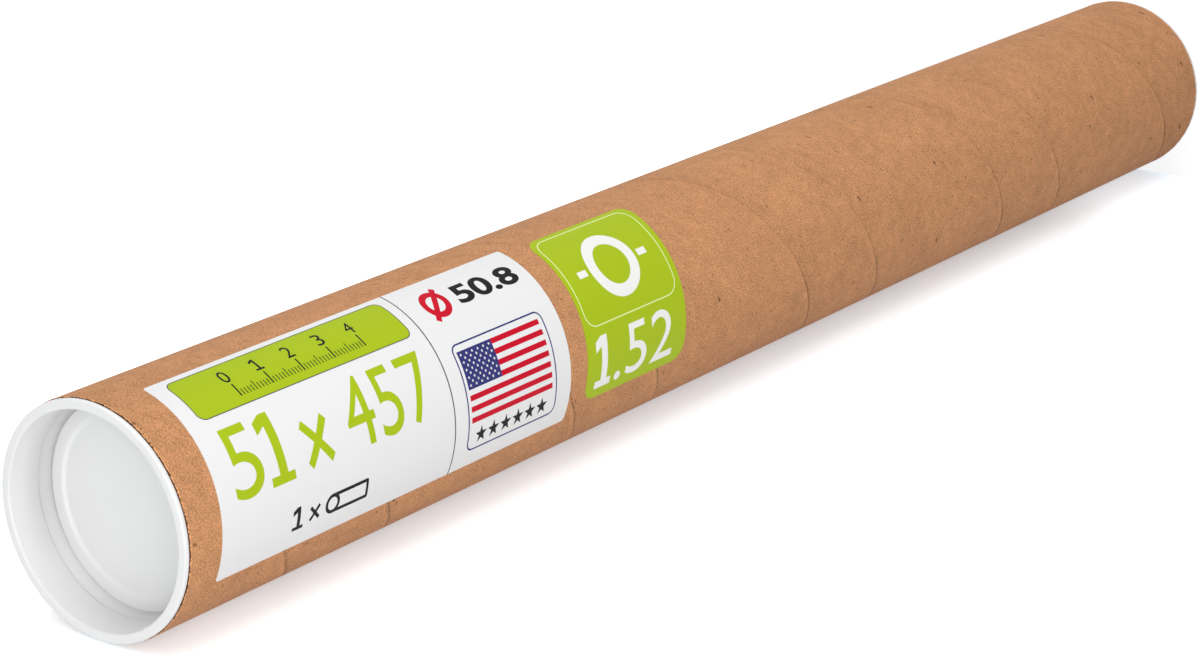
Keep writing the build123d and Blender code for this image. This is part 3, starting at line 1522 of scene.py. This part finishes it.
@dataclass
class SizeLabel(Label):
    """The long white label: sizes in figures, a scale, and a badge with a flag."""

    panel: Area = Area(14.5, 83.0, 10.4, 23.0)
    panel_corner: float = 2.2
    panel_line: float = 0.22
    scale_start: float = 28.75
    scale_base: float = 12.6
    scale_length: int = 40
    marks: tuple[Mark, ...] = (Mark(10, 0, 3.6, 0.42), Mark(5, 10, 2.6, 0.26), Mark(1, 5, 1.7, 0.26))
    scale_figure: Area = Area(-1.25, 1.25, 4.3, 8.0)
    scale_one: float = 0.6
    five: Area = Area(15.4, 24.6, -8.4, 7.3)
    large_one: Area = Area(26.2, 33.4, -8.4, 7.3)
    large_one_line: float = 2.5
    large_cross: Area = Area(37.8, 46.3, -8.2, 2.6)
    large_cross_share: float = 0.42
    length_figures: Area = Area(52.0, 80.6, -8.4, 7.3)
    count_one: Area = Area(32.0, 35.4, -20.1, -14.8)
    count_cross: Area = Area(37.3, 40.7, -19.6, -16.0)
    count_cross_share: float = 0.46
    small_tube: Area = Area(44.0, 56.4, -19.9, -15.3)
    small_tube_corner: float = 0.5
    small_mouth: Area = Area(42.4, 47.0, -19.9, -15.3)
    small_mouth_corner: float = 2.28
    small_mouth_radius: float = 2.3
    small_line: float = 0.8
    count_line: float = 1.0
    sign_centre: Span = (96.3, 15.9)
    sign_radius: float = 4.2
    sign_line: float = 1.7
    slash_reach: Span = (5.6, 0.75)
    slash_turn: float = 55.0
    bore_figures: Area = Area(103.2, 125.4, 13.1, 19.1)
    bore_weight: float = 0.03
    badge: Area = Area(90.8, 123.7, -20.4, 4.9)
    badge_corner: float = 2.2
    badge_line: float = 0.4
    flag: Area = Area(92.1, 122.0, -13.7, 3.0)
    stripes: int = 13
    canton_end: float = 104.2
    canton_stripes: int = 7
    canton_grid: tuple[int, int] = (9, 11)
    canton_star: float = 0.42
    row_start: Span = (95.7, -17.1)
    row_pitch: float = 4.5
    row_stars: int = 6
    row_star: float = 2.15
    divider: Span = (85.95, 86.3)

    def draw(self) -> None:
        """Draw the print."""
        self._scale_panel()
        self._size_figures()
        self._count()
        self._diameter_mark()
        self._badge()
        self.rectangle(Area(*self.divider, self.area.low, self.area.high), 0.0, Ink.GREY, 1)

    def _scale_panel(self) -> None:
        """Print the green panel and the plain centimetre scale on it."""
        self.rectangle(self.panel, self.panel_corner, Ink.GREEN, 1)
        self.frame(self.panel, self.panel_corner, self.panel_line, Ink.GREY, 2)
        for mark in self.marks:
            first, *others = mark.places(self.scale_length)
            bar = Area(-mark.width / 2, mark.width / 2, 0.0, mark.height)
            area = bar.moved(self.scale_start + first, self.scale_base)
            part = self.rectangle(area, 0.0, Ink.BLACK, 2)
            self.repeat(part, ((other - first, 0.0) for other in others), 2)
        for millimetre in range(0, self.scale_length + 1, 10):
            self._scale_figure(millimetre // 10, self.scale_start + millimetre)

    def _scale_figure(self, centimetre: int, place: float) -> None:
        """Print the figure over one of the scale's long marks."""
        figure = self.scale_figure.moved(place, self.scale_base)
        if centimetre == 1:
            self.one(figure, self.scale_one, Ink.BLACK, 2)
        else:
            self.numerals(str(centimetre), figure, 0.0, Ink.BLACK, 2)

    def _size_figures(self) -> None:
        """Print the bore and the length in large green figures."""
        self.numerals("5", self.five, 0.0, Ink.GREEN, 1)
        self.one(self.large_one, self.large_one_line, Ink.GREEN, 1)
        self.cross(self.large_cross, self.large_cross_share, Ink.GREEN, 1)
        self.numerals("457", self.length_figures, 0.0, Ink.GREEN, 1)

    def _count(self) -> None:
        """Print a count of one and a small drawing of a tube."""
        self.one(self.count_one, self.count_line, Ink.BLACK, 1)
        self.cross(self.count_cross, self.count_cross_share, Ink.BLACK, 1)
        self.frame(self.small_tube, self.small_tube_corner, self.small_line, Ink.BLACK, 1)
        self.rectangle(self.small_mouth, self.small_mouth_corner, self.paper, 2)
        centre = self.small_mouth.middle[:2]
        self.ring(centre, self.small_mouth_radius, self.small_line, Ink.BLACK, 3)

    def _diameter_mark(self) -> None:
        """Print the sign for a diameter and the bore in figures."""
        self.ring(self.sign_centre, self.sign_radius, self.sign_line, Ink.RED, 1)
        reach, half = self.slash_reach
        slash = Area(-reach, reach, -half, half).moved(*self.sign_centre)
        self.rectangle(slash, 0.0, Ink.RED, 2, self.slash_turn)
        self.numerals("50.8", self.bore_figures, self.bore_weight, Ink.BLACK, 1)

    def _badge(self) -> None:
        """Print the outlined badge, its flag and the row of stars under it."""
        self.frame(self.badge, self.badge_corner, self.badge_line, Ink.NAVY, 1)
        flag = self.flag
        pitch = (flag.high - flag.low) / self.stripes
        lowest = Area(flag.near, flag.far, flag.low, flag.low + pitch)
        stripe = self.rectangle(lowest, 0.0, Ink.RED, 1)
        self.repeat(stripe, ((0.0, step * pitch) for step in range(2, self.stripes, 2)), 1)
        canton_low = flag.high - self.canton_stripes * pitch
        canton = Area(flag.near, self.canton_end, canton_low, flag.high)
        self.rectangle(canton, 0.0, Ink.NAVY, 2)
        rows, columns = self.canton_grid
        along, across = canton.far - canton.near, canton.high - canton.low
        centres = [
            (
                canton.near + (column + 1) * along / (columns + 1),
                canton.low + (row + 1) * across / (rows + 1),
            )
            for row in range(rows)
            for column in range(row % 2, columns, 2)
        ]
        self.stars(centres, self.canton_star, Ink.WHITE, 3)
        start, height = self.row_start
        centres = [(start + place * self.row_pitch, height) for place in range(self.row_stars)]
        self.stars(centres, self.row_star, Ink.BLACK, 1)


@dataclass
class WallLabel(Label):
    """The green sticker: the wall's thickness in figures under a drawing of its section."""

    outline: Area = Area(137.8, 174.9, -4.3, 22.0)
    outline_corner: float = 4.0
    outline_line: float = 0.3
    section_centre: Span = (156.0, 8.6)
    section_radius: float = 8.9
    section_line: float = 3.2
    tick_reach: Span = (10.2, 13.6)
    tick_half: float = 0.9
    whole: Area = Area(139.8, 146.0, -19.2, -6.6)
    whole_line: float = 2.3
    decimals: Area = Area(147.6, 171.4, -19.2, -6.6)

    def draw(self) -> None:
        """Draw the print."""
        self.frame(self.outline, self.outline_corner, self.outline_line, Ink.PALE_GREEN, 1)
        self.ring(self.section_centre, self.section_radius, self.section_line, Ink.WHITE, 1)
        inner, outer = self.tick_reach
        near_tick = Area(-outer, -inner, -self.tick_half, self.tick_half)
        tick = self.rectangle(near_tick.moved(*self.section_centre), 0.0, Ink.WHITE, 1)
        self.repeat(tick, ((inner + outer, 0.0),), 1)
        self.one(self.whole, self.whole_line, Ink.WHITE, 1)
        self.numerals(".52", self.decimals, 0.0, Ink.WHITE, 1)


@dataclass(frozen=True)
class PaleFinish:
    """A pale surface that keeps shadows, looks white where it is lit and is clear from behind.

    The bounce is how much light it hands on to the object, the share how strongly the camera
    sees the light that falls on it, and the glow the light of its own that is seen on top of
    that, stronger by the foot near an upright board's foot. The lift is the faint light that
    keeps what touches it from going black.
    """

    name: str
    bounce: float
    share: Colour
    glow: Colour
    lift: float
    foot: float = 0.0
    foot_heights: Span = (0.075, 0.025)
    lift_reach: Span = (0.026, 0.01)
    cloth: Grain = Grain(3.0, 1.0, 0.5)
    cloth_tone: float = 0.004

    def material(self, away: Vector | None) -> Material:
        """Build the material.

        Args:
            away: The level direction that an upright board faces, or None for the floor.

        Returns:
            The material.
        """
        material, graph = Graph.of_material(self.name)
        place = graph.place()
        x, y, z = graph.axes(place)
        tone = graph.plus(1.0, graph.sway(graph.noise(place, self.cloth), self.cloth_tone))
        raised = graph.math("MULTIPLY_ADD", graph.fade(z, *self.foot_heights), self.foot, 1.0)
        shown = self._lit(graph, graph.tint(self.share, tone), self.glow, raised)
        distance = self._from_contact(graph, x, y, away)
        lifted = graph.times(graph.fade(distance, *self.lift_reach), self.lift)
        bounced = (self.bounce, self.bounce, self.bounce, 1.0)
        handed_on = self._lit(graph, bounced, WHITE_LIGHT, lifted)
        front = graph.mix_shaders(graph.seen(), handed_on, shown)
        clear = graph.add("ShaderNodeBsdfTransparent")
        geometry = graph.add("ShaderNodeNewGeometry")
        graph.show(graph.mix_shaders(geometry.outputs["Backfacing"], front, clear))
        return material

    @staticmethod
    def _lit(graph: Graph, cloth: Value, glow: Colour, strength: Socket) -> Node:
        """Add a diffuse surface with a light of its own.

        Args:
            graph: The graph to add to.
            cloth: The surface's colour.
            glow: The light's colour.
            strength: The light's strength.

        Returns:
            The shader's node.
        """
        diffuse = graph.add("ShaderNodeBsdfDiffuse")
        graph.feed(diffuse.inputs["Color"], cloth)
        light = graph.add("ShaderNodeEmission")
        graph.feed_all(light, {"Color": glow, "Strength": strength})
        total = graph.add("ShaderNodeAddShader")
        for socket, shader in zip(total.inputs, (diffuse, light)):
            graph.feed(socket, shader.outputs[0])
        return total

    @staticmethod
    def _from_contact(graph: Graph, x: Socket, y: Socket, away: Vector | None) -> Socket:
        """Return the distance from where the tube touches the surface.

        Args:
            graph: The graph to add to.
            x: The place's x.
            y: The place's y.
            away: The direction that an upright board faces, or None for the floor.

        Returns:
            The distance from the board's line of contact, or from the tube's axis.
        """
        if away is None:
            return graph.from_axis(x, y)
        return graph.math("ABSOLUTE", graph.weigh((y, away.x), (x, -away.y)))


@dataclass(frozen=True)
class Softbox:
    """A large soft lamp: its place in the studio, its sides in metres and its power in watts."""

    name: str
    offset: tuple[float, float, float]
    length: float
    width: float
    power: float


@dataclass
class Studio:
    """The camera, the pale floor and backdrop, and the soft light."""

    tube_radius: float
    middle: float
    lens: float = 92.82
    sensor: float = 36.0
    clip_start: float = 0.01
    camera_place: tuple[float, float, float] = (0.0, -0.50158, 0.87632)
    camera_turn: tuple[float, float, float] = (-18.7894, 36.3767, -119.1794)
    away_angle: float = -29.18
    fill: float = 0.7
    board_size: float = 6.0
    board_gap: float = 0.0002
    backdrop: PaleFinish = PaleFinish(
        "backdrop_board",
        bounce=0.72,
        share=(1.32, 1.42, 1.47, 1.0),
        glow=(0.255, 0.3, 0.335, 1.0),
        lift=0.1,
        foot=0.6,
    )
    floor: PaleFinish = PaleFinish(
        "floor_board",
        bounce=0.4,
        share=(0.55, 0.55, 0.55, 1.0),
        glow=(0.64, 0.665, 0.68, 1.0),
        lift=0.5,
    )
    front: Softbox = Softbox("front_softbox", (-0.22, -0.5, 0.4), 0.6, 0.6, 4.0)
    key: Softbox = Softbox("key_softbox", (0.0, 0.0, 0.3), 1.1, 0.6, 3.7)
    key_distance: float = 0.9

    def build(self) -> None:
        """Set up the stage."""
        self._camera()
        self._world()
        self._boards()
        top = Vector((0.0, 0.0, self.middle * 2))
        self._lamp(self.front, top)
        self._lamp(self.key, self._away() * self.key_distance)
        bpy.context.scene.view_settings.view_transform = "Standard"

    def _away(self) -> Vector:
        """Return the level direction that points from the backdrop to the tube's open side."""
        angle = math.radians(self.away_angle)
        return Vector((math.cos(angle), math.sin(angle), 0.0))

    def _camera(self) -> None:
        """Place the camera at the photograph's viewing angle."""
        turn = tuple(math.radians(angle) for angle in self.camera_turn)
        bpy.ops.object.camera_add(location=self.camera_place, rotation=turn)
        camera = bpy.context.object
        camera.data.lens = self.lens
        camera.data.sensor_width = self.sensor
        camera.data.clip_start = self.clip_start
        bpy.context.scene.camera = camera

    def _world(self) -> None:
        """Light the object evenly, and show white where the background is seen."""
        world = bpy.data.worlds.new("studio")
        bpy.context.scene.world = world
        world.use_nodes = True
        graph = Graph(world.node_tree)
        strength = graph.math("MULTIPLY_ADD", graph.seen(), 1.0 - self.fill, self.fill)
        background = graph.add("ShaderNodeBackground")
        graph.feed_all(background, {"Color": WHITE_LIGHT, "Strength": strength})
        graph.show(background, "ShaderNodeOutputWorld")

    def _boards(self) -> None:
        """Stand a pale board against the tube, which takes its soft shadow, and lay the floor."""
        away = self._away()
        upright = away.to_track_quat("Z", "Y").to_euler()
        behind = -away * (self.tube_radius + self.board_gap)
        self._board("backdrop", behind, tuple(upright), self.backdrop.material(away))
        self._board("floor", Vector(), (0.0, 0.0, 0.0), self.floor.material(None))

    def _board(
        self, name: str, place: Vector, turn: tuple[float, float, float], finish: Material
    ) -> None:
        """Set up one large flat board of the stage.

        Args:
            name: The board's name.
            place: Its middle.
            turn: Its turn from lying flat.
            finish: Its material.
        """
        bpy.ops.mesh.primitive_plane_add(size=self.board_size)
        board = bpy.context.object
        board.rotation_euler = turn
        board.location = place
        Bench.settle(board)
        board.name = name
        board.data.materials.append(finish)

    def _lamp(self, softbox: Softbox, base: Vector) -> None:
        """Hang one area lamp that faces the tube.

        Args:
            softbox: The lamp.
            base: The point from which its place is measured.
        """
        place = base + Vector(softbox.offset)
        aim = Vector((0.0, 0.0, self.middle))
        turn = (place - aim).to_track_quat("Z", "Y").to_euler()
        bpy.ops.object.light_add(type="AREA", location=place, rotation=turn)
        lamp = bpy.context.object
        lamp.name = softbox.name
        lamp.data.shape = "RECTANGLE"
        lamp.data.size = softbox.length
        lamp.data.size_y = softbox.width
        lamp.data.energy = softbox.power


def main() -> None:
    """Build the mailing tube's looks and its studio."""
    logging.basicConfig(level=logging.INFO, format="%(name)s: %(message)s")
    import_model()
    Bench.clear()

    tube_low, tube_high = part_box("paper_tube")
    top_low, top_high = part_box("top_cap")
    radius = tube_high.x
    middle = (tube_low.z + tube_high.z) / 2
    moulded = MouldedFinish("moulded_plastic").material()
    cap_sizes = {
        "flange_radius": top_high.x,
        "flange_thickness": top_high.z - tube_high.z,
        "plug_depth": tube_high.z - top_low.z,
        "finish": moulded,
    }
    inks = Inks()
    pieces = [
        PaperTube(radius, tube_low.z, tube_high.z),
        PlugCap("upper_plug_cap", "top_cap", "upper_cap", tube_high.z, **cap_sizes),
        FarPlugCap(
            "lower_plug_cap", "bottom_cap", "lower_cap", tube_low.z, **cap_sizes, middle=middle
        ),
        SizeLabel(
            "printed_size_label",
            "size_label",
            "white_label",
            Ink.WHITE_PAPER,
            Area(10.1, 129.2, -24.55, 24.55),
            0.8,
            TubeWrap(radius, tube_high.z, 0.05),
            inks,
        ),
        WallLabel(
            "printed_wall_label",
            "wall_label",
            "green_label",
            Ink.GREEN_PAPER,
            Area(136.4, 176.8, -21.6, 23.2),
            4.0,
            TubeWrap(radius, tube_high.z, 0.09),
            inks,
        ),
    ]
    for builder in pieces:
        made = builder.build()
        LOG.info("%s has %d faces", made.name, len(made.data.polygons))

    Studio(radius, middle).build()
    LOG.info("studio is set")


if __name__ == "__main__":
    main()
